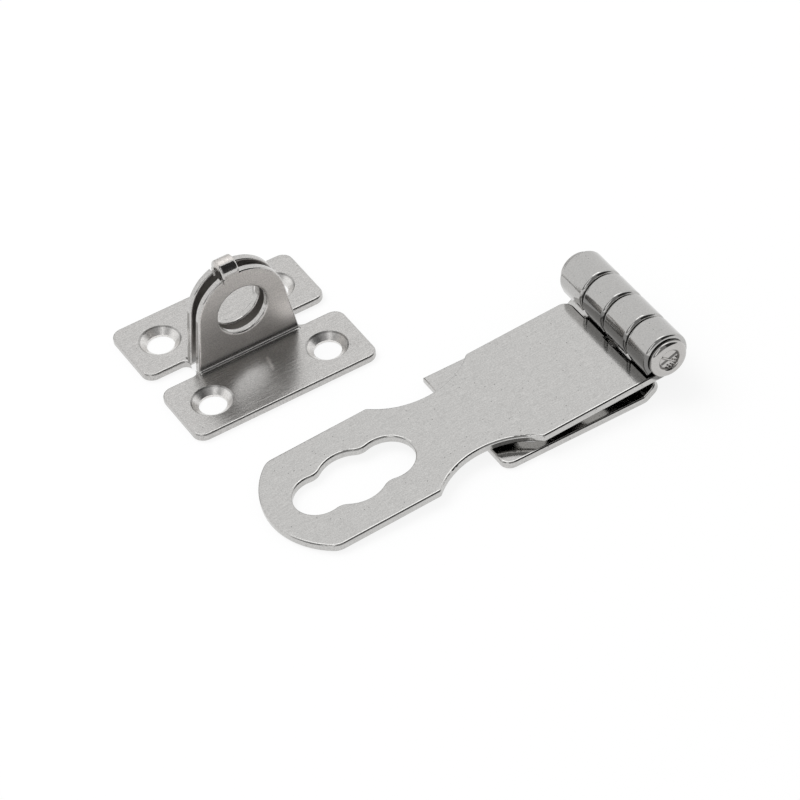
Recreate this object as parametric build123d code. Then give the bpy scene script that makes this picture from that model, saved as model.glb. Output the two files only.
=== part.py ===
from build123d import *
from math import acos, atan2, cos, degrees, hypot, radians, sin, sqrt, tan
import os

# Padlock hasp: a slotted strap that swings on a knuckled hinge leaf, and the folded staple it drops over.
# Millimetres. The mounting surface is z = 0. The origin is the centre of the hinge leaf's screw holes on
# that surface, +X runs from the strap's nose towards the hinge, +Y along the hinge pin and +Z up.

# Sheet metal
SHEET = 1.5
EDGE_ROUND = 0.4
BEND_INSIDE = 0.5

# Screw holes
SCREW_HOLE_RADIUS = 2.5
SINK_RADIUS = 3.8
SINK_LAND = 0.45

# Hinge: the knuckle widths run from the -Y end, strap and leaf in turn
KNUCKLE_WIDTHS = (6.2, 7.1, 6.6, 7.2)
KNUCKLE_RADIUS = 4.4
KNUCKLE_GAP = 0.25
KNUCKLE_ROUND = 0.65
CURL_END_ANGLE = 195.0
CURL_END_FLAT = 1.2
AXIS_HEIGHT = 8.3
RUNNING_CLEARANCE = 0.3

# Hinge pin
PIN_CLEARANCE = 0.05
PIN_HEAD_RADIUS = 3.6
PIN_HEAD_THICKNESS = 1.1
PIN_HEAD_ROUND = 0.55
PIN_HEAD_GAP = 0.15
PIN_DISH_RADIUS = 2.1
PIN_DISH_DEPTH = 0.6

# Hinge leaf
LEAF_LENGTH = 32.7
LEAF_WIDTH = 26.4
LEAF_HOLES_FROM_AXIS = 17.8
LEAF_HOLE_SPACING_X = 12.6
LEAF_HOLE_SPACING_Y = 14.0
LEAF_CORNER_RADIUS = 2.0
CRANK_ANGLE = 34.0
CRANK_LENGTH = 3.7
CRANK_CORNER_RADIUS = 1.5

# Strap
STRAP_LENGTH = 71.6
REAR_WIDTH = 25.3
FRONT_WIDTH = 24.8
NOSE_RADIUS = 15.4
NOSE_CORNER_RADIUS = 3.0
NECK_FROM_NOSE = 36.2
NECK_RADIUS = 14.3
NECK_WIDTH = 16.6
NECK_CORNER_RADIUS = 0.8
STRAP_HINGE_CORNER_RADIUS = 2.0
FLOOR_CLEARANCE = 0.02

# Slot in the strap: each lobe's distance from the nose and its radius
SLOT_NOSE_LOBE = (9.5, 4.5)
SLOT_MIDDLE_LOBE = (16.1, 6.1)
SLOT_NECK_LOBE = (23.0, 4.9)
SLOT_CUSP_RADIUS = 2.8

# Staple
STAPLE_X = -35.7
STAPLE_Y = 40.9
STAPLE_LENGTH = 36.2
STAPLE_WIDTH = 33.0
STAPLE_HOLE_SPACING_X = 23.0
STAPLE_HOLE_SPACING_Y = 19.0
FLANGE_INNER_GAP = 4.2
FLANGE_CORNER_RADIUS = 2.2
EAR_GAP = 1.6
EAR_BASE_WIDTH = 20.1
EAR_TOP_RADIUS = 8.6
EAR_ROOT_RADIUS = 1.3
PADLOCK_HOLE_HEIGHT = 11.0
PADLOCK_HOLE_RADIUS = 4.8
BRIDGE_X = -1.0
BRIDGE_WIDTH = 3.3
BRIDGE_RISE = 2.0
BRIDGE_SLIT = 0.4
BRIDGE_SLIT_DEPTH = 1.4

# Sizes that follow from the ones above
HALF_WIDTH = REAR_WIDTH / 2
KNUCKLE_JOINTS = [-HALF_WIDTH + sum(KNUCKLE_WIDTHS[:index]) for index in range(len(KNUCKLE_WIDTHS) + 1)]
STRAP_KNUCKLES = range(0, len(KNUCKLE_WIDTHS), 2)
LEAF_KNUCKLES = range(1, len(KNUCKLE_WIDTHS), 2)
BORE_RADIUS = KNUCKLE_RADIUS - SHEET
PIN_RADIUS = BORE_RADIUS - PIN_CLEARANCE
HINGE_X = LEAF_HOLES_FROM_AXIS
NECK_FROM_AXIS = STRAP_LENGTH - NECK_FROM_NOSE
CURL_REACH = sqrt(KNUCKLE_RADIUS**2 - BORE_RADIUS**2) + CURL_END_FLAT / 2
STRAP_CUTBACK = CURL_REACH + RUNNING_CLEARANCE
LEAF_BEND = (KNUCKLE_RADIUS - AXIS_HEIGHT * cos(radians(CRANK_ANGLE))) / sin(radians(CRANK_ANGLE))
EAR_OUTER_Y = EAR_GAP / 2 + SHEET
EAR_HEIGHT = PADLOCK_HOLE_HEIGHT + EAR_TOP_RADIUS
FOLD_Y = EAR_OUTER_Y + BEND_INSIDE
BRIDGE_AXIS_HEIGHT = EAR_HEIGHT + BRIDGE_RISE - EAR_OUTER_Y

# How near counts as touching, and from how many degrees two faces meet at an edge
TOUCH = 0.001
RIM_ANGLE = 30.0


def knuckle_span(index):
    """Low and high y of one knuckle, counted from the -Y end, with half the gap off each inner side."""
    low = KNUCKLE_JOINTS[index]
    high = KNUCKLE_JOINTS[index + 1]
    if index > 0:
        low += KNUCKLE_GAP / 2
    if index < len(KNUCKLE_WIDTHS) - 1:
        high -= KNUCKLE_GAP / 2
    return low, high


def slab(face, low_y, high_y):
    """Solid of an X-Z face drawn on y = 0, from low_y to high_y."""
    return Pos(0, high_y, 0) * extrude(face, high_y - low_y)


def bent_face(plane, outline, bends):
    """Face on a plane of a bent sheet's section. Each bend is a corner of the outline and its radius."""
    with BuildSketch(plane) as face:
        with BuildLine():
            Polyline(*outline, close=True)
        make_face()
        for corner, radius in bends:
            fillet(face.vertices().sort_by_distance((*corner, 0))[0], radius)
    return face.sketch


def rim_edges(solid, joints):
    """Edges along a sheet's rim, where its skin meets a cut side.

    Left out are the edges across the sheet's thickness and those on a joint: a plane through an axis's
    start, square to the axis.
    """
    rim = []
    faces = [(face, face.edges()) for face in solid.faces()]
    for edge in solid.edges():
        middle = edge @ 0.5
        across = edge.geom_type == GeomType.LINE and abs(edge.length - SHEET) < TOUCH
        at_joint = any(abs((middle - joint.position).dot(joint.direction)) < TOUCH for joint in joints)
        sides = [face.normal_at(middle) for face, edges in faces if any(e.is_same(edge) for e in edges)]
        smooth = len(sides) == 2 and sides[0].dot(sides[1]) > cos(radians(RIM_ANGLE))
        if not across and not at_joint and not smooth:
            rim.append(edge)
    return rim


def countersinks(spacing_x, spacing_y):
    """Cutters for four countersunk screw holes at the corners of a rectangle, in a sheet on z = 0."""
    sink_depth = SHEET - SINK_LAND
    shank = Pos(0, 0, SHEET / 2) * Cylinder(SCREW_HOLE_RADIUS, 2 * SHEET)
    cone = Pos(0, 0, SINK_LAND) * Cone(
        SCREW_HOLE_RADIUS, SINK_RADIUS, sink_depth, align=(Align.CENTER, Align.CENTER, Align.MIN)
    )
    return [place * (shank + cone) for place in GridLocations(spacing_x, spacing_y, 2, 2)]


def rolled_edge(end_angle):
    """X-Z face of the curled end of a sheet, round a pin whose axis is the local origin.

    It starts right below the axis, turns anticlockwise to end_angle in degrees and ends in a short flat.
    """
    end = radians(end_angle)
    starts = []
    tips = []
    with BuildSketch(Plane.XZ) as face:
        with BuildLine():
            for radius in (KNUCKLE_RADIUS, BORE_RADIUS):
                leave = (radius * cos(end), radius * sin(end))
                tip = (leave[0] - CURL_END_FLAT * sin(end), leave[1] + CURL_END_FLAT * cos(end))
                CenterArc((0, 0), radius, -90, 90 + end_angle)
                Line(leave, tip)
                starts.append((0, -radius))
                tips.append(tip)
            Line(*starts)
            Line(*tips)
        make_face()
    return face.sketch


def knuckle(end_angle, index):
    """One knuckle with its side edges rounded, apart from the two lowest, which join it to its sheet."""
    low, high = knuckle_span(index)
    body = slab(rolled_edge(end_angle), low, high)
    sides = body.edges().filter_by_position(Axis.Y, low, low)
    sides += body.edges().filter_by_position(Axis.Y, high, high)
    return fillet(sides.sort_by(Axis.Z)[2:], KNUCKLE_ROUND)


def corners_at(sketch, x, y):
    """Corners of a sketch that lie at x and at plus or minus y."""
    return [v for v in sketch.vertices() if abs(v.X - x) < TOUCH and abs(abs(v.Y) - abs(y)) < TOUCH]


def strap_outline():
    """Plan of the strap's flat part, with the hinge axis on the local Y axis and the nose towards -X."""
    front_half = FRONT_WIDTH / 2
    nose_centre = STRAP_LENGTH - NOSE_RADIUS
    neck_offset = NECK_WIDTH / 2 + NECK_RADIUS
    head = Pos(-nose_centre, 0) * Circle(NOSE_RADIUS)
    head += Pos(-nose_centre, 0) * Rectangle(nose_centre, 2 * NOSE_RADIUS, align=(Align.MIN, Align.CENTER))
    head_length = STRAP_LENGTH - NECK_FROM_AXIS
    head &= Pos(-STRAP_LENGTH, 0) * Rectangle(head_length, FRONT_WIDTH, align=(Align.MIN, Align.CENTER))
    plan = head + Rectangle(NECK_FROM_AXIS, REAR_WIDTH, align=(Align.MAX, Align.CENTER))
    for side in (-1, 1):
        plan -= Pos(-NECK_FROM_AXIS, side * neck_offset) * Circle(NECK_RADIUS)
    nose_corner_x = -nose_centre - sqrt(NOSE_RADIUS**2 - front_half**2)
    front_reach = sqrt(NECK_RADIUS**2 - (neck_offset - front_half) ** 2)
    rear_reach = sqrt(NECK_RADIUS**2 - (neck_offset - HALF_WIDTH) ** 2)
    plan = fillet(corners_at(plan, nose_corner_x, front_half), NOSE_CORNER_RADIUS)
    plan = fillet(corners_at(plan, -NECK_FROM_AXIS - front_reach, front_half), NECK_CORNER_RADIUS)
    return fillet(corners_at(plan, -NECK_FROM_AXIS + rear_reach, HALF_WIDTH), NECK_CORNER_RADIUS)


def slot_outline():
    """Plan of the three-lobed slot, its inward cusps rounded."""
    slot = Sketch()
    for from_nose, radius in (SLOT_NOSE_LOBE, SLOT_MIDDLE_LOBE, SLOT_NECK_LOBE):
        slot += Pos(from_nose - STRAP_LENGTH, 0) * Circle(radius)
    cusps = slot.vertices().filter_by(lambda corner: abs(corner.Y) > TOUCH)
    return fillet(cusps, SLOT_CUSP_RADIUS)


def make_strap():
    """Slotted strap with its knuckles, made level on the hinge axis and then lowered onto its nose."""
    plan = strap_outline()
    for index in LEAF_KNUCKLES:
        low = knuckle_span(index - 1)[1]
        high = min(KNUCKLE_JOINTS[index + 1] + KNUCKLE_GAP / 2, HALF_WIDTH)
        plan -= Pos(-STRAP_CUTBACK, low) * Rectangle(STRAP_LENGTH, high - low, align=(Align.MIN, Align.MIN))
    plan = fillet(corners_at(plan, -STRAP_CUTBACK, HALF_WIDTH), STRAP_HINGE_CORNER_RADIUS)
    plan -= slot_outline()
    strap = Pos(0, 0, -KNUCKLE_RADIUS) * extrude(plan, SHEET)
    strap = fillet(rim_edges(strap, [Axis((0, 0, 0), (1, 0, 0))]), EDGE_ROUND)
    for index in STRAP_KNUCKLES:
        strap += knuckle(CURL_END_ANGLE, index)
    return Pos(HINGE_X, 0, AXIS_HEIGHT) * Rot(0, -rest_angle(), 0) * strap


def rest_angle():
    """Degrees by which the strap hangs below level when the lower edge of its nose rests on the floor."""
    reach = hypot(KNUCKLE_RADIUS, STRAP_LENGTH)
    return degrees(atan2(STRAP_LENGTH, KNUCKLE_RADIUS) - acos((AXIS_HEIGHT - FLOOR_CLEARANCE) / reach))


def leaf_face(crank_length):
    """X-Z face of the flat leaf and its crank, with the hinge axis over x = 0.

    The crank's lower face lies on a tangent to the knuckle circle. crank_length runs from the bend along it.
    """
    angle = radians(CRANK_ANGLE)
    bend = (LEAF_BEND, 0)
    inner_bend = (LEAF_BEND - SHEET * tan(angle / 2), SHEET)
    end = (LEAF_BEND + crank_length * cos(angle), crank_length * sin(angle))
    inner_end = (end[0] - SHEET * sin(angle), end[1] + SHEET * cos(angle))
    outline = [(-LEAF_LENGTH, 0), bend, end, inner_end, inner_bend, (-LEAF_LENGTH, SHEET)]
    return bent_face(Plane.XZ, outline, [(bend, BEND_INSIDE + SHEET), (inner_bend, BEND_INSIDE)])


def make_leaf():
    """Flat hinge leaf with four countersunk holes, its crank and its knuckles."""
    angle = radians(CRANK_ANGLE)
    full_crank = (KNUCKLE_RADIUS * sin(angle) - LEAF_BEND) / cos(angle)
    curl_start = (LEAF_BEND + full_crank * cos(angle), 0, full_crank * sin(angle))
    leaf = slab(leaf_face(CRANK_LENGTH), -HALF_WIDTH, LEAF_WIDTH - HALF_WIDTH)
    leaf = fillet(leaf.edges().filter_by(Axis.Z).group_by(Axis.X)[0], LEAF_CORNER_RADIUS)
    crank_ends = leaf.edges().filter_by(lambda edge: abs(edge.length - SHEET) < TOUCH).sort_by(Axis.X)[-2:]
    leaf = fillet(crank_ends.sort_by(Axis.Y)[0], CRANK_CORNER_RADIUS)
    for index in LEAF_KNUCKLES:
        leaf += slab(leaf_face(full_crank), *knuckle_span(index))
    leaf = fillet(rim_edges(leaf, [Axis(curl_start, (cos(angle), 0, sin(angle)))]), EDGE_ROUND)
    for index in LEAF_KNUCKLES:
        curl = Rot(0, -CRANK_ANGLE, 0) * knuckle(CURL_END_ANGLE - CRANK_ANGLE, index)
        leaf += Pos(0, 0, AXIS_HEIGHT) * curl
    leaf = Pos(HINGE_X, 0, 0) * leaf
    for cutter in countersinks(LEAF_HOLE_SPACING_X, LEAF_HOLE_SPACING_Y):
        leaf -= cutter
    return leaf


def make_pin():
    """Hinge pin with a rounded, dished head at each end."""
    middle_y = (KNUCKLE_JOINTS[0] + KNUCKLE_JOINTS[-1]) / 2
    head_y = KNUCKLE_JOINTS[-1] - middle_y + PIN_HEAD_GAP
    end_y = head_y + PIN_HEAD_THICKNESS
    dish_y = end_y - PIN_DISH_DEPTH
    side = (PIN_HEAD_RADIUS, end_y - PIN_HEAD_ROUND)
    rim = (PIN_HEAD_RADIUS - PIN_HEAD_ROUND, end_y)
    with BuildSketch() as half:
        with BuildLine():
            Polyline((0, 0), (PIN_RADIUS, 0), (PIN_RADIUS, head_y), (PIN_HEAD_RADIUS, head_y), side)
            RadiusArc(side, rim, -PIN_HEAD_ROUND)
            Polyline(rim, (PIN_DISH_RADIUS, end_y), (PIN_DISH_RADIUS - PIN_DISH_DEPTH, dish_y))
            Polyline((PIN_DISH_RADIUS - PIN_DISH_DEPTH, dish_y), (0, dish_y), (0, 0))
        make_face()
    end = revolve(half.sketch, Axis.Y, 360)
    return Pos(HINGE_X, middle_y, AXIS_HEIGHT) * (end + mirror(end, Plane.XZ))


def ear_face():
    """X-Z face of one ear and its fold: sides that taper up to a round top, with the padlock hole."""
    half = EAR_BASE_WIDTH / 2
    drop = PADLOCK_HOLE_HEIGHT - SHEET
    turn = acos(EAR_TOP_RADIUS / hypot(half, drop)) - atan2(drop, half)
    touch = (EAR_TOP_RADIUS * cos(turn), PADLOCK_HOLE_HEIGHT + EAR_TOP_RADIUS * sin(turn))
    foot = (half + SHEET * tan(turn), 0)
    with BuildSketch(Plane.XZ) as face:
        with BuildLine():
            Polyline((-touch[0], touch[1]), (-foot[0], 0), foot, touch)
            ThreePointArc(touch, (0, EAR_HEIGHT), (-touch[0], touch[1]))
        make_face()
        with Locations((0, PADLOCK_HOLE_HEIGHT)):
            Circle(PADLOCK_HOLE_RADIUS, mode=Mode.SUBTRACT)
    return face.sketch


def make_ear():
    """Ear on the -Y side with the fold that leads up to it from its flange."""
    inner_y = -EAR_GAP / 2
    start_y = -FOLD_Y - SHEET
    outline = [(start_y, 0), (inner_y, 0), (inner_y, EAR_HEIGHT), (-EAR_OUTER_Y, EAR_HEIGHT)]
    outline += [(-EAR_OUTER_Y, SHEET), (start_y, SHEET)]
    bends = [((inner_y, 0), BEND_INSIDE + SHEET), ((-EAR_OUTER_Y, SHEET), BEND_INSIDE)]
    ear = extrude(bent_face(Plane.YZ, outline, bends), EAR_BASE_WIDTH, both=True)
    ear &= slab(ear_face(), -FOLD_Y, 0)
    return fillet(rim_edges(ear, [Axis((0, -FOLD_Y, 0), (0, 1, 0))]), EDGE_ROUND)


def make_flange():
    """Screw flange on the -Y side, up to the fold, its inner edge curving round to the sides of the ear."""
    outer_y = -STAPLE_WIDTH / 2
    edge_y = -FLANGE_INNER_GAP / 2
    half = EAR_BASE_WIDTH / 2
    root = EAR_ROOT_RADIUS
    plan = Pos(0, outer_y) * Rectangle(STAPLE_LENGTH, edge_y - outer_y, align=(Align.CENTER, Align.MIN))
    plan = fillet(plan.vertices(), FLANGE_CORNER_RADIUS)
    for side in (-1, 1):
        plan += Pos(side * half, edge_y) * Rectangle(2 * root, root, align=(Align.CENTER, Align.MIN))
        plan -= Pos(side * (half + root), edge_y + root) * Circle(root)
    plan -= Pos(0, -FOLD_Y) * Rectangle(EAR_BASE_WIDTH, STAPLE_WIDTH, align=(Align.CENTER, Align.MIN))
    flange = extrude(plan, SHEET)
    joints = [Axis((0, -FOLD_Y, 0), (0, 1, 0))]
    joints += [Axis((side * half, 0, 0), (1, 0, 0)) for side in (-1, 1)]
    return fillet(rim_edges(flange, joints), EDGE_ROUND)


def make_bridge():
    """Band that joins the ears over the top: half a ring round the gap between them."""
    with BuildSketch(Plane.YZ.offset(BRIDGE_X - BRIDGE_WIDTH / 2)) as face:
        with Locations((0, BRIDGE_AXIS_HEIGHT)):
            Circle(EAR_OUTER_Y)
            Circle(EAR_GAP / 2, mode=Mode.SUBTRACT)
            Rectangle(2 * EAR_OUTER_Y, EAR_OUTER_Y, align=(Align.CENTER, Align.MAX), mode=Mode.SUBTRACT)
    band = extrude(face.sketch, BRIDGE_WIDTH)
    return fillet(rim_edges(band, [Axis((0, 0, BRIDGE_AXIS_HEIGHT), (0, 0, 1))]), EDGE_ROUND)


def make_staple():
    """Staple folded from one sheet: two screw flanges, two ears and the bridge that joins them."""
    half = make_flange() + make_ear()
    staple = half + mirror(half, Plane.XZ)
    right_above = (Align.MIN, Align.CENTER, Align.MIN)
    left_above = (Align.MAX, Align.CENTER, Align.MIN)
    band_room = Box(BRIDGE_WIDTH, STAPLE_WIDTH, STAPLE_WIDTH, align=right_above)
    slit = Box(BRIDGE_SLIT, STAPLE_WIDTH, STAPLE_WIDTH, align=left_above)
    left = BRIDGE_X - BRIDGE_WIDTH / 2
    staple -= Pos(left, 0, BRIDGE_AXIS_HEIGHT) * band_room
    staple -= Pos(left, 0, EAR_HEIGHT - BRIDGE_SLIT_DEPTH) * slit
    staple += make_bridge()
    for cutter in countersinks(STAPLE_HOLE_SPACING_X, STAPLE_HOLE_SPACING_Y):
        staple -= cutter
    return Pos(STAPLE_X, STAPLE_Y, 0) * staple


def write_parts():
    """Writes one STEP file for each piece."""
    os.makedirs("parts", exist_ok=True)
    pieces = {
        "hasp_strap": make_strap(),
        "hinge_leaf": make_leaf(),
        "hinge_pin": make_pin(),
        "staple": make_staple(),
    }
    for name, shape in pieces.items():
        export_step(shape, f"parts/{name}.step")


write_parts()
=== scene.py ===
"""Looks of the padlock hasp: its steel finishes, its turned pin, the studio and the camera.

Sizes of the hasp are in millimetres. Meshes and the studio are in metres.
"""

import logging
import math
from dataclasses import dataclass, replace
from enum import Enum
from typing import Protocol, Union

import bpy
import numpy as np
from mathutils import Matrix, Vector


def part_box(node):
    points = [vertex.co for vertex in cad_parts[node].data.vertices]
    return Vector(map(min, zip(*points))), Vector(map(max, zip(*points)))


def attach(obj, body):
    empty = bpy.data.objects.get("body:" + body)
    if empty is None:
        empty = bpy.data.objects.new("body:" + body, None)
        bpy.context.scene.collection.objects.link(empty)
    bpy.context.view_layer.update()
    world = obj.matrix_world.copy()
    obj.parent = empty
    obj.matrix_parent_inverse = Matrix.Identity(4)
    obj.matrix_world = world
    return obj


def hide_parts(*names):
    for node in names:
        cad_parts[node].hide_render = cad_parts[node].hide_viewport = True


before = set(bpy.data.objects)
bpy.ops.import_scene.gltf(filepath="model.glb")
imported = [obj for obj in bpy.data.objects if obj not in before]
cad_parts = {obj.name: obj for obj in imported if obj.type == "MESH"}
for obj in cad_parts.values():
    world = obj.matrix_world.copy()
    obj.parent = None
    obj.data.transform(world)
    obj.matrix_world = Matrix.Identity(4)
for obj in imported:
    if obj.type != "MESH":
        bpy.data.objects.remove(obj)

LOG = logging.getLogger("padlock_hasp")
MM = 0.001
FIXED_SIDE = "fixed_side"

Colour = tuple[float, float, float]
Point = tuple[float, float, float]
Span = tuple[float, float]
Socket = bpy.types.NodeSocket
Value = Union[Socket, float, tuple]

ACROSS_WIDTH: Point = (1.0, 0.0, 1.0)
ALONG_WIDTH: Point = (0.0, 1.0, 0.0)
UPWARDS: Point = (0.0, 0.0, 1.0)
ON_PLAN: Point = (1.0, 1.0, 0.0)
WHITE = (1.0, 1.0, 1.0, 1.0)


class Node(Enum):
    """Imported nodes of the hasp, which share their names with the record's material slots."""

    STRAP = "hasp_strap"
    LEAF = "hinge_leaf"
    PIN = "hinge_pin"
    STAPLE = "staple"


class Axis(Enum):
    """Axis along which steel was brushed, as an index into a point."""

    LENGTH = 0
    WIDTH = 1


# Meshes


def surface_mesh(
    name: str, points: np.ndarray, poles: tuple[Point, Point] | None = None
) -> bpy.types.Object:
    """Make a smooth mesh object from a grid of points.

    Args:
        name: Name of the object and its mesh.
        points: Array of rows, columns and 3 coordinates, in metres.
        poles: Points that close the first and the last row, for a surface whose last column
            joins the first. Without them the surface is an open sheet.

    Returns:
        The linked object, at the origin. Its faces point along the cross product of the
        step from row to row and the step from column to column.
    """
    rows, columns = points.shape[:2]
    index = np.arange(rows * columns).reshape(rows, columns)
    vertices = points.reshape(-1, 3).tolist()
    if poles is not None:
        index = np.hstack([index, index[:, :1]])
        vertices += [list(pole) for pole in poles]
    quads = np.stack([index[:-1, :-1], index[1:, :-1], index[1:, 1:], index[:-1, 1:]], axis=-1)
    faces = quads.reshape(-1, 4).tolist()
    if poles is not None:
        first = np.full(columns, rows * columns)
        faces += np.stack([first, index[0, :-1], index[0, 1:]], axis=-1).tolist()
        faces += np.stack([first + 1, index[-1, 1:], index[-1, :-1]], axis=-1).tolist()
    mesh = bpy.data.meshes.new(name)
    mesh.from_pydata(vertices, [], faces)
    mesh.polygons.foreach_set("use_smooth", np.ones(len(mesh.polygons), dtype=bool))
    mesh.update()
    made = bpy.data.objects.new(name, mesh)
    bpy.context.scene.collection.objects.link(made)
    return made


# Shaders


class ShaderSketch:
    """Short way to add and join the nodes of one material."""

    # Places of a mix node's sockets for vectors, whose names are those of other kinds too.
    MIX_FIRST, MIX_SECOND, MIX_RESULT = 4, 5, 1

    def __init__(self, name: str) -> None:
        """Start a material with its usual surface shader.

        Args:
            name: Name of the material.
        """
        self.material = bpy.data.materials.new(name)
        self.material.use_nodes = True
        self.tree = self.material.node_tree
        self.surface = self.tree.nodes["Principled BSDF"]

    def join(self, value: Value, socket: Socket) -> None:
        """Link an output to a socket, or write a plain value into it.

        Args:
            value: The output, number or numbers.
            socket: The socket that takes it.
        """
        if isinstance(value, Socket):
            self.tree.links.new(value, socket)
        else:
            socket.default_value = value

    def vector(self, operation: str, first: Value, second: Value | None = None) -> Socket:
        """Add one step of vector arithmetic.

        Args:
            operation: Name of the operation.
            first: First vector.
            second: Second vector, if the operation takes one.

        Returns:
            The vector output, or the number of a dot product or length.
        """
        node = self.tree.nodes.new("ShaderNodeVectorMath")
        node.operation = operation
        self.join(first, node.inputs[0])
        if second is not None:
            self.join(second, node.inputs[1])
        return node.outputs["Value" if operation in ("DOT_PRODUCT", "LENGTH") else "Vector"]

    def scaled(self, vector: Value, factor: Value) -> Socket:
        """Scale a vector or a colour by a number.

        Args:
            vector: The vector or colour.
            factor: The number.

        Returns:
            The scaled vector.
        """
        node = self.tree.nodes.new("ShaderNodeVectorMath")
        node.operation = "SCALE"
        self.join(vector, node.inputs[0])
        self.join(factor, node.inputs["Scale"])
        return node.outputs["Vector"]

    def millimetres(self) -> Socket:
        """Return the point on the object, in millimetres."""
        place = self.tree.nodes.new("ShaderNodeTexCoord").outputs["Object"]
        return self.scaled(place, 1 / MM)

    def along(self, vector: Value, direction: Point) -> Socket:
        """Return the length of a vector along a direction."""
        return self.vector("DOT_PRODUCT", vector, direction)

    def reach(self, vector: Value, kept: Point) -> Socket:
        """Return the length of a vector when only the kept axes count."""
        return self.vector("LENGTH", self.vector("MULTIPLY", vector, kept))

    def maths(self, operation: str, first: Value, second: Value = 0.0) -> Socket:
        """Add one step of plain arithmetic.

        Args:
            operation: Name of the operation.
            first: First number.
            second: Second number.

        Returns:
            The result.
        """
        node = self.tree.nodes.new("ShaderNodeMath")
        node.operation = operation
        self.join(first, node.inputs[0])
        self.join(second, node.inputs[1])
        return node.outputs[0]

    def times(self, first: Value, second: Value) -> Socket:
        """Return the product of two numbers."""
        return self.maths("MULTIPLY", first, second)

    def apart(self, first: Value, second: Value) -> Socket:
        """Return how far two numbers are apart."""
        return self.maths("ABSOLUTE", self.maths("SUBTRACT", first, second))

    def ramp(self, value: Value, span: Span, out: Span) -> Socket:
        """Spread a value smoothly.

        Args:
            value: The number to spread.
            span: Values that give the first and the second of out.
            out: The two results.

        Returns:
            The spread number.
        """
        node = self.tree.nodes.new("ShaderNodeMapRange")
        node.interpolation_type = "SMOOTHSTEP"
        self.join(value, node.inputs["Value"])
        node.inputs["From Min"].default_value = span[0]
        node.inputs["From Max"].default_value = span[1]
        node.inputs["To Min"].default_value = out[0]
        node.inputs["To Max"].default_value = out[1]
        return node.outputs["Result"]

    def noise(self, place: Value, per_mm: float, detail: float = 2.0) -> Socket:
        """Add cloudy noise.

        Args:
            place: The point, in millimetres.
            per_mm: Features per millimetre.
            detail: Finer layers on top of the first.

        Returns:
            The noise, mostly between 0.3 and 0.7.
        """
        node = self.tree.nodes.new("ShaderNodeTexNoise")
        self.join(place, node.inputs["Vector"])
        node.inputs["Scale"].default_value = per_mm
        node.inputs["Detail"].default_value = detail
        return node.outputs["Fac"]

    def cells(self, place: Value, per_mm: float) -> tuple[Socket, Socket]:
        """Add random cells.

        Args:
            place: The point, in millimetres.
            per_mm: Cells per millimetre.

        Returns:
            The distance from the nearest cell's centre, and that cell's own colour.
        """
        node = self.tree.nodes.new("ShaderNodeTexVoronoi")
        self.join(place, node.inputs["Vector"])
        node.inputs["Scale"].default_value = per_mm
        return node.outputs["Distance"], node.outputs["Color"]

    def streak(self, place: Value, start: Point, end: Point, width: float) -> Socket:
        """Mark the points near a straight line.

        Args:
            place: The point, in millimetres.
            start: One end of the line, in millimetres.
            end: Its other end.
            width: Width over which the mark fades.

        Returns:
            One on the line, nought away from it.
        """
        line = Vector(end) - Vector(start)
        offset = self.vector("SUBTRACT", place, start)
        share = self.maths("DIVIDE", self.along(offset, tuple(line)), line.length_squared)
        clamped = self.maths("MINIMUM", self.maths("MAXIMUM", share, 0.0), 1.0)
        nearest = self.scaled(tuple(line), clamped)
        off_line = self.vector("LENGTH", self.vector("SUBTRACT", offset, nearest))
        return self.ramp(off_line, (0.0, width), (1.0, 0.0))

    def blend(self, share: Value, low: Value, high: Value) -> Socket:
        """Mix two numbers.

        Args:
            share: Share of the second, from nought to one.
            low: First number.
            high: Second number.

        Returns:
            The mixed number.
        """
        node = self.tree.nodes.new("ShaderNodeMix")
        self.join(share, node.inputs["Factor"])
        self.join(low, node.inputs["A"])
        self.join(high, node.inputs["B"])
        return node.outputs["Result"]

    def blend_colour(self, share: Value, low: Value, high: Value) -> Socket:
        """Mix two colours.

        Args:
            share: Share of the second, from nought to one.
            low: First colour.
            high: Second colour.

        Returns:
            The mixed colour.
        """
        node = self.tree.nodes.new("ShaderNodeMix")
        node.data_type = "VECTOR"
        self.join(share, node.inputs["Factor"])
        self.join(low, node.inputs[self.MIX_FIRST])
        self.join(high, node.inputs[self.MIX_SECOND])
        return node.outputs[self.MIX_RESULT]

    def raise_surface(self, height: Value, strength: float, distance: float) -> None:
        """Tilt the surface's shading by a height.

        Args:
            height: The height to follow.
            strength: Share of it that shows.
            distance: Metres that a height of one stands for.
        """
        node = self.tree.nodes.new("ShaderNodeBump")
        node.inputs["Strength"].default_value = strength
        node.inputs["Distance"].default_value = distance
        self.join(height, node.inputs["Height"])
        self.join(node.outputs["Normal"], self.surface.inputs["Normal"])


# Finishes


@dataclass(frozen=True)
class Look:
    """A finish while its features are being added: shade is a factor on its colour."""

    colour: Value
    shade: Value
    roughness: Value


class Feature(Protocol):
    """Something local that changes a finish."""

    def add(self, sketch: ShaderSketch, place: Value, look: Look) -> Look:
        """Add the feature.

        Args:
            sketch: The material being made.
            place: The point, in millimetres.
            look: The look so far.

        Returns:
            The look with the feature.
        """


@dataclass(frozen=True)
class Streak:
    """One straight scratch, with a painted highlight along it, in millimetres."""

    start: Point = (-34.2, 35.0, 1.5)
    end: Point = (-34.7, 32.0, 1.5)
    width: float = 0.55
    # How strong the painted highlight is.
    painted_light_gain: float = 0.7

    def add(self, sketch: ShaderSketch, place: Value, look: Look) -> Look:
        """Paint a highlight on the points near the line."""
        painted_glint = sketch.times(sketch.streak(place, self.start, self.end, self.width), self.painted_light_gain)
        return replace(look, shade=sketch.maths("ADD", look.shade, painted_glint))


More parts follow.
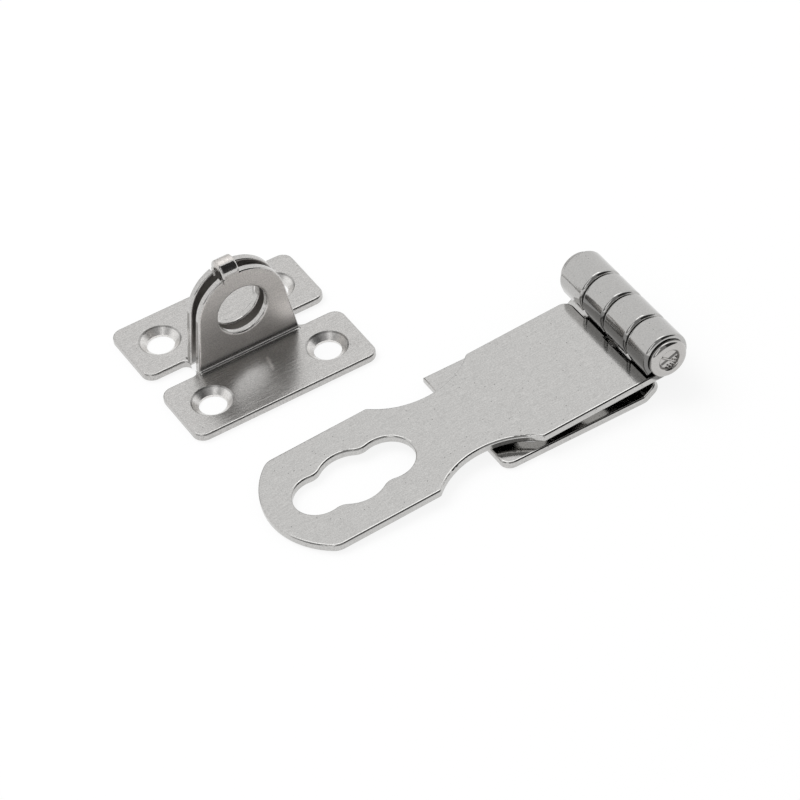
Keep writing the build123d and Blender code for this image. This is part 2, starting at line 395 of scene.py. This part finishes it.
@dataclass(frozen=True)
class PolishedBarrel:
    """A barrel along the width axis inside which a sheet is polished, in millimetres.

    The side that lies in the fold, up to where the strap's sheet ends, is darkened by painted
    shade.
    """

    middle: Point = (17.8, 0.0, 8.3)
    radius: float = 4.5
    radius_fade: float = 0.3
    roughness: float = 0.07
    tone: float = 0.88
    # The side in the fold gets a painted shade, which also darkens its reflection in the strap.
    fold_side: Point = (-0.53, 0.0, -0.848)
    fold_fade: Span = (-0.1, 0.2)
    fold_end: float = 7.6
    fold_painted_shade: float = 0.38
    calm: float = 0.3

    def add(self, sketch: ShaderSketch, place: Value, look: Look) -> Look:
        """Polish the barrel, calm its grain and paint shade on the side that lies in the fold.

        Args:
            sketch: The material being made.
            place: The point, in millimetres.
            look: The look so far.

        Returns:
            The look with the barrel.
        """
        offset = sketch.vector("SUBTRACT", place, self.middle)
        radial = sketch.reach(offset, ACROSS_WIDTH)
        inside = sketch.ramp(radial, (self.radius, self.radius + self.radius_fade), (1.0, 0.0))
        # Painted shade, darker into the fold and up to where the strap's sheet ends.
        before_end = sketch.maths("SUBTRACT", self.fold_end, sketch.along(place, ALONG_WIDTH))
        folded = sketch.maths("MINIMUM", sketch.along(offset, self.fold_side), before_end)
        tone = sketch.ramp(folded, self.fold_fade, (self.tone, self.fold_painted_shade))
        calmed = sketch.times(sketch.blend(self.calm, look.shade, 1.0), tone)
        return replace(
            look,
            shade=sketch.blend(inside, look.shade, calmed),
            roughness=sketch.blend(inside, look.roughness, self.roughness),
        )


@dataclass(frozen=True)
class UprightEars:
    """The flat faces of two upright sheets, duller and warmer than their edges, in millimetres."""

    height: float = 2.2
    height_fade: float = 1.0
    middle_y: float = 40.9
    sheet_from_middle: float = 1.55
    half_sheet: float = 0.75
    face_fade: Span = (0.12, 0.01)
    roughness: float = 0.42
    edge_roughness: float = 0.1
    colour: Colour = (0.64, 0.612, 0.588)
    # Painted shade on the two faces that look into the gap between the ears.
    gap_top: Span = (18.8, 19.2)
    gap_fade: Span = (0.03, 0.12)
    gap_painted_shade: float = 0.5
    # Painted light near the feet of the faces, standing in for light the flange throws back.
    foot_top: float = 13.0
    foot_painted_light: float = 1.45

    def add(self, sketch: ShaderSketch, place: Value, look: Look) -> Look:
        """Dull the faces, paint light on their feet and paint shade on the two that look into the
        gap.

        Args:
            sketch: The material being made.
            place: The point, in millimetres.
            look: The look so far.

        Returns:
            The look with the ears.
        """
        height = sketch.along(place, UPWARDS)
        from_middle = sketch.apart(sketch.along(place, ALONG_WIDTH), self.middle_y)
        depth = sketch.apart(from_middle, self.sheet_from_middle)
        above = sketch.ramp(height, (self.height, self.height + self.height_fade), (0.0, 1.0))
        face_span = (self.half_sheet - self.face_fade[0], self.half_sheet - self.face_fade[1])
        flat = sketch.ramp(depth, face_span, (0.0, 1.0))
        dull = sketch.times(above, flat)
        inner = self.sheet_from_middle - self.half_sheet
        gap_span = (inner + self.gap_fade[0], inner + self.gap_fade[1])
        within = sketch.ramp(from_middle, gap_span, (1.0, 0.0))
        # Painted shade in the gap, fading out above the gap's top.
        gap_shade_mask = sketch.times(within, sketch.ramp(height, self.gap_top, (1.0, 0.0)))
        # Painted light towards the feet of the faces.
        foot = sketch.times(dull, sketch.ramp(height, (self.height, self.foot_top), (1.0, 0.0)))
        gap_painted_shade = sketch.blend(gap_shade_mask, 1.0, self.gap_painted_shade)
        tone = sketch.times(gap_painted_shade, sketch.blend(foot, 1.0, self.foot_painted_light))
        roughness = sketch.blend(flat, self.edge_roughness, self.roughness)
        return replace(
            look,
            colour=sketch.blend_colour(dull, look.colour, self.colour),
            shade=sketch.times(look.shade, tone),
            roughness=sketch.blend(above, look.roughness, roughness),
        )


@dataclass(frozen=True)
class Sinks:
    """Four cut screw holes at the corners of a rectangle, in millimetres."""

    middle: Point
    half_spacing: Point
    roughness: float
    # Painted light on the sink walls where above one, painted shade where below one.
    painted_light_gain: float
    radius: float = 3.8
    edge_fade: float = 0.04
    # A thin ring of painted shade just inside the rim.
    rim_inset: float = 0.12
    rim_fade: Span = (0.04, 0.24)
    rim_painted_shade: float = 0.55

    def add(self, sketch: ShaderSketch, place: Value, look: Look) -> Look:
        """Give the four sinks their own roughness, scale their walls by a painted light gain and
        paint a thin dark line of shade at the rim.

        Args:
            sketch: The material being made.
            place: The point, in millimetres.
            look: The look so far.

        Returns:
            The look with the sinks.
        """
        offset = sketch.vector("MULTIPLY", sketch.vector("SUBTRACT", place, self.middle), ON_PLAN)
        corner = sketch.vector("SUBTRACT", sketch.vector("ABSOLUTE", offset), self.half_spacing)
        reach = sketch.vector("LENGTH", corner)
        edge_span = (self.radius - self.edge_fade, self.radius + self.edge_fade)
        inside = sketch.ramp(reach, edge_span, (1.0, 0.0))
        # Painted shade in a thin ring at the rim, and the walls' painted light gain.
        from_rim = sketch.apart(reach, self.radius - self.rim_inset)
        rim = sketch.ramp(from_rim, self.rim_fade, (self.rim_painted_shade, 1.0))
        tone = sketch.times(rim, sketch.blend(inside, 1.0, self.painted_light_gain))
        return replace(
            look,
            shade=sketch.times(look.shade, tone),
            roughness=sketch.blend(inside, look.roughness, self.roughness),
        )


@dataclass(frozen=True)
class PaintedHeadShade:
    """Painted shade in the corners of a pin's two heads, about an axis along the width, in
    millimetres.
    """

    middle: Point = (17.8, 0.9, 8.3)
    half_length: float = 14.8
    dish_foot: float = 1.85
    corner_fade: Span = (0.03, 0.2)
    corner_painted_shade: float = 0.45
    groove_fade: Span = (0.6, 1.0)
    groove_painted_shade: float = 0.3

    def add(self, sketch: ShaderSketch, place: Value, look: Look) -> Look:
        """Paint shade on the foot of the dish and in the groove behind the head.

        Args:
            sketch: The material being made.
            place: The point, in millimetres.
            look: The look so far.

        Returns:
            The look with the painted shade.
        """
        # Painted shade at the dish's foot and behind the head.
        offset = sketch.vector("SUBTRACT", place, self.middle)
        from_foot = sketch.apart(sketch.reach(offset, ACROSS_WIDTH), self.dish_foot)
        corner = sketch.ramp(from_foot, self.corner_fade, (self.corner_painted_shade, 1.0))
        from_middle = sketch.maths("ABSOLUTE", sketch.along(offset, ALONG_WIDTH))
        behind = sketch.maths("SUBTRACT", self.half_length, from_middle)
        groove = sketch.ramp(behind, self.groove_fade, (1.0, self.groove_painted_shade))
        return replace(look, shade=sketch.times(sketch.times(look.shade, corner), groove))


@dataclass(frozen=True)
class SteelFinish:
    """Bare steel with a fine grain, brush lines and pits, in millimetres."""

    colour: Colour
    roughness: float
    grain_depth: float
    grain_per_mm: float = 4.2
    noise_span: Span = (0.3, 0.7)
    brush_along: Axis = Axis.LENGTH
    brush_depth: float = 0.06
    brush_across_per_mm: float = 9.0
    brush_along_per_mm: float = 0.35
    patch_span: Span = (0.25, 0.75)
    patch_depth: float = 0.15
    pits_per_mm: float = 1.1
    pit_share: float = 0.12
    pit_size: float = 0.10
    pit_core: float = 0.4
    pit_depth: float = 0.62
    bump: float = 0.0
    bump_height: float = 0.02

    def worn(self, sketch: ShaderSketch, place: Value, grain: Value) -> Look:
        """Make the look of the plain steel.

        Args:
            sketch: The material being made.
            place: The point, in millimetres.
            grain: Cloudy noise of the steel's grain.

        Returns:
            The look before any feature.
        """
        fine = sketch.ramp(grain, self.noise_span, (1 - self.grain_depth, 1 + self.grain_depth))
        stretch = [self.brush_across_per_mm] * 3
        stretch[self.brush_along.value] = self.brush_along_per_mm
        brush = sketch.noise(sketch.vector("MULTIPLY", place, tuple(stretch)), per_mm=1.0)
        lines = sketch.ramp(brush, self.noise_span, (1 - self.brush_depth, 1 + self.brush_depth))
        distance, own = sketch.cells(place, self.pits_per_mm)
        lucky = sketch.maths("LESS_THAN", own, self.pit_share)
        pit_span = (self.pit_core * self.pit_size, self.pit_size)
        near = sketch.ramp(distance, pit_span, (self.pit_depth, 0.0))
        pits = sketch.maths("SUBTRACT", 1.0, sketch.times(lucky, near))
        low, high = (1 - self.patch_depth) * self.roughness, (1 + self.patch_depth) * self.roughness
        return Look(
            colour=self.colour,
            shade=sketch.times(sketch.times(fine, lines), pits),
            roughness=sketch.ramp(brush, self.patch_span, (low, high)),
        )

    def material(self, name: str, *features: Feature) -> bpy.types.Material:
        """Make the finish as a material.

        Args:
            name: Name of the material.
            *features: Local features of the piece, in the order in which they are added.

        Returns:
            The material.
        """
        sketch = ShaderSketch(name)
        place = sketch.millimetres()
        grain = sketch.noise(place, self.grain_per_mm)
        look = self.worn(sketch, place, grain)
        for feature in features:
            look = feature.add(sketch, place, look)
        sketch.join(sketch.scaled(look.colour, look.shade), sketch.surface.inputs["Base Color"])
        sketch.surface.inputs["Metallic"].default_value = 1.0
        sketch.join(look.roughness, sketch.surface.inputs["Roughness"])
        if self.bump > 0.0:
            sketch.raise_surface(grain, self.bump, self.bump_height * MM)
        return sketch.material


@dataclass(frozen=True)
class Finishes:
    """Every finish of the hasp."""

    sheet: SteelFinish = SteelFinish(
        colour=(0.53, 0.524, 0.513),
        roughness=0.11,
        grain_depth=0.10,
        pit_share=0.4,
        pit_size=0.15,
        bump=0.3,
    )
    staple: SteelFinish = SteelFinish(
        colour=(0.52, 0.511, 0.5),
        roughness=0.25,
        grain_depth=0.12,
        brush_depth=0.05,
        pit_share=0.2,
        pit_size=0.14,
        bump=0.35,
    )
    pin: SteelFinish = SteelFinish(
        colour=(0.50, 0.488, 0.475),
        roughness=0.07,
        grain_depth=0.05,
        brush_along=Axis.WIDTH,
        brush_depth=0.03,
    )


# Pieces


def dress(node: Node, material: bpy.types.Material) -> None:
    """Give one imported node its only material.

    Args:
        node: The node.
        material: Its material.
    """
    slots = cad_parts[node.value].data.materials
    slots.clear()
    slots.append(material)
    LOG.info("%s dressed", node.value)


@dataclass
class Strap:
    """The slotted strap that swings on the hinge."""

    finish: SteelFinish
    barrel: PolishedBarrel = PolishedBarrel()

    def dress(self) -> None:
        """Put the sheet's finish and the polished barrel on the strap."""
        dress(Node.STRAP, self.finish.material("satin_strap_steel", self.barrel))


@dataclass
class HingeLeaf:
    """The screwed leaf under the strap."""

    finish: SteelFinish
    barrel: PolishedBarrel = PolishedBarrel()
    # The leaf's sinks are darkened with painted shade.
    sinks: Sinks = Sinks(
        middle=(0.0, 0.0, 0.0), half_spacing=(6.3, 7.0, 0.0), roughness=0.24, painted_light_gain=0.4
    )

    def dress(self) -> None:
        """Put the sheet's finish, the polished barrel and the sinks on the leaf."""
        dress(Node.LEAF, self.finish.material("satin_leaf_steel", self.barrel, self.sinks))


@dataclass
class HingePin:
    """The turned hinge pin with crowned heads and a struck mark in each dish, in millimetres."""

    finish: SteelFinish
    # Painted shade at the foot of each dish and in the groove behind each head.
    corners: PaintedHeadShade = PaintedHeadShade()
    shank_radius: float = 2.85
    head_radius: float = 3.6
    head_thickness: float = 1.1
    crown_radius: float = 2.5
    crown_drop: float = 0.8
    dish_depth: float = 0.6
    dish_foot: float = 1.9
    dish_border: float = 0.16
    ridge_turns: tuple[float, ...] = (2.45, 0.35)
    ridge_height: float = 0.34
    ridge_width: float = 0.2
    bead_turns: tuple[float, ...] = (-0.25, -0.62, -1.0, -1.4, -1.85)
    bead_reach: float = 0.74
    bead_height: float = 0.5
    bead_width: float = 0.24
    first_row: float = 0.03
    close_row: float = 0.01
    dish_rows: int = 40
    bend_rows: int = 13
    spokes: int = 160

    def struck_height(self, across: np.ndarray, up: np.ndarray) -> np.ndarray:
        """Height of the struck mark over the dish's floor.

        Each chisel ridge is a bell curve across a line through the middle, and each bead along
        the dish's lower edge is a round bell. The highest of them counts, and it fades to
        nothing at the dish's foot.

        Args:
            across: Distance along the ground from the pin's axis, in millimetres.
            up: Distance above the pin's axis, in millimetres.

        Returns:
            The height in millimetres.
        """
        height = np.zeros_like(across)
        for turn in self.ridge_turns:
            off = (across * math.sin(turn) - up * math.cos(turn)) / self.ridge_width
            height = np.maximum(height, self.ridge_height * np.exp(-(off**2)))
        middle = self.bead_reach * self.dish_foot
        for turn in self.bead_turns:
            off = np.hypot(across - middle * math.cos(turn), up - middle * math.sin(turn))
            height = np.maximum(height, self.bead_height * np.exp(-((off / self.bead_width) ** 2)))
        reach = np.hypot(across, up) / self.dish_foot
        return height * np.clip((1.0 - reach) / self.dish_border, 0.0, 1.0)

    def head_profile(self) -> np.ndarray:
        """Profile of one head, from its middle out to the shank.

        The dish has a flat floor. A quarter of an ellipse climbs from its foot to the crown, a
        second one falls from there to the head's side, and the back steps in to the shank, with
        close rows at the corners.

        Returns:
            Rows of radius and depth below the face, in millimetres.
        """
        floor = np.linspace(self.first_row, self.dish_foot, self.dish_rows)
        bend = np.linspace(0.0, np.pi / 2, self.bend_rows + 1)[1:]
        climb = self.crown_radius - (self.crown_radius - self.dish_foot) * np.cos(bend)
        fall = self.crown_radius + (self.head_radius - self.crown_radius) * np.sin(bend)
        back = [
            [self.head_radius, self.head_thickness - self.close_row],
            [self.head_radius - self.close_row, self.head_thickness],
            [self.shank_radius + self.close_row, self.head_thickness],
            [self.shank_radius, self.head_thickness + self.close_row],
        ]
        return np.concatenate(
            [
                np.stack([floor, np.full_like(floor, self.dish_depth)], axis=-1),
                np.stack([climb, self.dish_depth * (1.0 - np.sin(bend))], axis=-1),
                np.stack([fall, self.crown_drop * (1.0 - np.cos(bend))], axis=-1),
                np.array(back),
            ]
        )

    def turned_pin(self) -> bpy.types.Object:
        """Build the pin as one surface turned about its axis.

        The near head's profile runs outwards and the far head's runs back inwards, mirrored. The
        struck height lifts the floor of each dish towards its face.

        Returns:
            The pin.
        """
        low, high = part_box(Node.PIN.value)
        axis = (low + high) / 2
        profile = self.head_profile()
        turn = np.linspace(0.0, 2 * np.pi, self.spokes, endpoint=False)[None, :]
        ends = []
        for side, face, rows in ((-1, low.y, profile), (1, high.y, profile[::-1])):
            across = rows[:, :1] * np.cos(turn)
            up = rows[:, :1] * np.sin(turn)
            inwards = (rows[:, 1:] - self.struck_height(-side * across, up)) * MM
            x, y, z = axis.x + across * MM, face - side * inwards, axis.z + up * MM
            ends.append(np.stack([x, y, z], axis=-1))
        middle = (self.dish_depth - self.ridge_height) * MM
        poles = ((axis.x, low.y + middle, axis.z), (axis.x, high.y - middle, axis.z))
        return surface_mesh("turned_pin", np.concatenate(ends), poles)

    def build(self) -> None:
        """Build the pin, let it stand for the plain one and give it its polish."""
        pin = self.turned_pin()
        pin.data.materials.append(self.finish.material("polished_pin_steel", self.corners))
        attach(pin, FIXED_SIDE)
        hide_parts(Node.PIN.value)
        LOG.info("%s turned with %d faces", Node.PIN.value, len(pin.data.polygons))


@dataclass
class Staple:
    """The folded staple that the strap drops over."""

    finish: SteelFinish
    # A scratch with a painted highlight.
    scratch: Streak = Streak()
    # Ears with painted light at their feet and painted shade in their gap.
    ears: UprightEars = UprightEars()
    # The staple's sinks are lightened with painted light.
    sinks: Sinks = Sinks(
        middle=(-35.7, 40.9, 0.0), half_spacing=(11.5, 9.5, 0.0), roughness=0.32, painted_light_gain=1.45
    )

    def dress(self) -> None:
        """Put the brushed finish, a scratch, the dull ears and the sinks on the staple, with
        painted light and shade.
        """
        features = (self.scratch, self.ears, self.sinks)
        dress(Node.STAPLE, self.finish.material("brushed_staple_steel", *features))


# Studio


def glow(name: str, tone: float) -> bpy.types.Material:
    """Make a plain glowing grey.

    Args:
        name: Name of the material.
        tone: Its strength, where one is white.

    Returns:
        The material.
    """
    material = bpy.data.materials.new(name)
    material.use_nodes = True
    tree = material.node_tree
    tree.nodes.clear()
    light = tree.nodes.new("ShaderNodeEmission")
    light.inputs["Color"].default_value = WHITE
    light.inputs["Strength"].default_value = tone
    output = tree.nodes.new("ShaderNodeOutputMaterial")
    tree.links.new(light.outputs[0], output.inputs["Surface"])
    return material


def seen_directly(tree: bpy.types.NodeTree) -> Socket:
    """Tell whether a ray comes from the camera, from polished metal or through glass.

    Args:
        tree: Nodes of the material or sky that asks.

    Returns:
        One for such a ray, nought for any other.
    """
    ray = tree.nodes.new("ShaderNodeLightPath")
    seen = ray.outputs["Is Camera Ray"]
    for kind in ("Is Glossy Ray", "Is Transmission Ray"):
        either = tree.nodes.new("ShaderNodeMath")
        either.operation = "MAXIMUM"
        tree.links.new(seen, either.inputs[0])
        tree.links.new(ray.outputs[kind], either.inputs[1])
        seen = either.outputs[0]
    return seen


@dataclass(frozen=True)
class Card:
    """A studio card that only polished surfaces see, in metres and degrees."""

    name: str
    tone: float
    bearing: float
    spread: float
    low: float
    high: float
    distance: float = 1.6
    rows: int = 24
    columns: int = 48

    def build(self) -> None:
        """Build the card as part of a sphere around the hasp.

        The rows climb from the low to the high angle and the columns sweep the bearing, which
        is counted from the length axis towards the width axis.
        """
        height = np.radians(np.linspace(self.low, self.high, self.rows))[:, None]
        first, last = self.bearing - self.spread, self.bearing + self.spread
        sweep = np.radians(np.linspace(first, last, self.columns))[None, :]
        x, y = np.cos(height) * np.cos(sweep), np.cos(height) * np.sin(sweep)
        points = self.distance * np.stack([x, y, np.sin(height) + 0 * sweep], axis=-1)
        card = surface_mesh(self.name, points)
        card.data.materials.append(glow(self.name, self.tone))
        card.visible_camera = False
        card.visible_diffuse = False
        card.visible_shadow = False
        card.visible_transmission = False


@dataclass(frozen=True)
class Studio:
    """Pale floor, even sky, one soft lamp and the cards that shape the reflections, in metres."""

    floor_half: float = 3.0
    floor_tone: float = 0.92
    floor_roughness: float = 0.9
    floor_glow: float = 0.85
    sky_tone: float = 0.72
    lamp_power: float = 9.0
    lamp_size: float = 0.9
    lamp_place: Point = (-0.35, 0.55, 1.15)
    cards: tuple[Card, ...] = (
        Card("dark_card_near", 0.28, -115.0, spread=80.0, low=12.0, high=88.0),
        Card("crescent_card", 0.04, -45.0, spread=30.0, low=12.0, high=76.0, distance=1.4),
        Card("far_card", 0.06, 86.0, spread=36.0, low=0.6, high=11.0),
        Card("white_card", 1.3, -148.0, spread=13.0, low=20.0, high=66.0, distance=1.5),
        Card("rim_card", 2.4, 64.0, spread=40.0, low=56.0, high=70.0, distance=1.5),
    )

    def floor(self) -> None:
        """Build the pale floor that takes the hasp's shadow."""
        half = self.floor_half
        low_side = [(-half, -half, 0.0), (-half, half, 0.0)]
        high_side = [(half, -half, 0.0), (half, half, 0.0)]
        floor = surface_mesh("floor", np.array([low_side, high_side]))
        sketch = ShaderSketch("pale_floor")
        sketch.surface.inputs["Base Color"].default_value = (*(self.floor_tone,) * 3, 1.0)
        sketch.surface.inputs["Roughness"].default_value = self.floor_roughness
        sketch.surface.inputs["Specular IOR Level"].default_value = 0.0
        white = sketch.tree.nodes.new("ShaderNodeEmission")
        mix = sketch.tree.nodes.new("ShaderNodeMixShader")
        share = sketch.times(seen_directly(sketch.tree), self.floor_glow)
        sketch.join(share, mix.inputs["Fac"])
        sketch.join(sketch.surface.outputs[0], mix.inputs[1])
        sketch.join(white.outputs[0], mix.inputs[2])
        sketch.join(mix.outputs[0], sketch.tree.nodes["Material Output"].inputs["Surface"])
        floor.data.materials.append(sketch.material)

    def sky(self) -> None:
        """Make the sky plain white to the eye and to polished steel, and softer as a light."""
        world = bpy.data.worlds.new("studio_sky")
        bpy.context.scene.world = world
        world.use_nodes = True
        tree = world.node_tree
        background = tree.nodes["Background"]
        background.inputs["Color"].default_value = WHITE
        level = tree.nodes.new("ShaderNodeMapRange")
        level.inputs["To Min"].default_value = self.sky_tone
        level.inputs["To Max"].default_value = 1.0
        tree.links.new(seen_directly(tree), level.inputs["Value"])
        tree.links.new(level.outputs["Result"], background.inputs["Strength"])

    def lamp(self) -> None:
        """Hang the soft lamp and turn it to the hasp."""
        data = bpy.data.lights.new("soft_lamp", "AREA")
        data.energy = self.lamp_power
        data.size = self.lamp_size
        lamp = bpy.data.objects.new("soft_lamp", data)
        bpy.context.scene.collection.objects.link(lamp)
        lamp.visible_glossy = False
        lamp.location = self.lamp_place
        lamp.rotation_euler = (-Vector(self.lamp_place)).to_track_quat("-Z", "Y").to_euler()

    def build(self) -> None:
        """Set up the whole studio."""
        self.floor()
        self.sky()
        self.lamp()
        for card in self.cards:
            card.build()
        bpy.context.scene.view_settings.view_transform = "Standard"
        LOG.info("studio set up with %d cards", len(self.cards))


@dataclass(frozen=True)
class ProductCamera:
    """Long-lens camera above the near left side, in millimetres."""

    place: Point = (-251.97, -472.813, 507.2)
    right: Point = (0.85468, -0.50977, -0.09829)
    down: Point = (-0.41409, -0.55518, -0.72132)
    lens: float = 194.089
    sensor: float = 36.0
    clip_start: float = 10.0

    def build(self) -> None:
        """Place the camera and make it the scene's own."""
        data = bpy.data.cameras.new("product_camera")
        data.lens = self.lens
        data.sensor_width = self.sensor
        data.clip_start = self.clip_start * MM
        camera = bpy.data.objects.new("product_camera", data)
        bpy.context.scene.collection.objects.link(camera)
        right = Vector(self.right).normalized()
        up = (-Vector(self.down)).normalized()
        matrix = Matrix((right, up, right.cross(up))).transposed().to_4x4()
        matrix.translation = Vector(self.place) * MM
        camera.matrix_world = matrix
        bpy.context.scene.camera = camera
        LOG.info("camera placed")


def main() -> None:
    """Dress the hasp, and set up the studio and the camera."""
    logging.basicConfig(level=logging.INFO, format="%(name)s: %(message)s")
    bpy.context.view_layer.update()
    finishes = Finishes()
    Strap(finishes.sheet).dress()
    HingeLeaf(finishes.sheet).dress()
    HingePin(finishes.pin).build()
    Staple(finishes.staple).dress()
    Studio().build()
    ProductCamera().build()


if __name__ == "__main__":
    main()
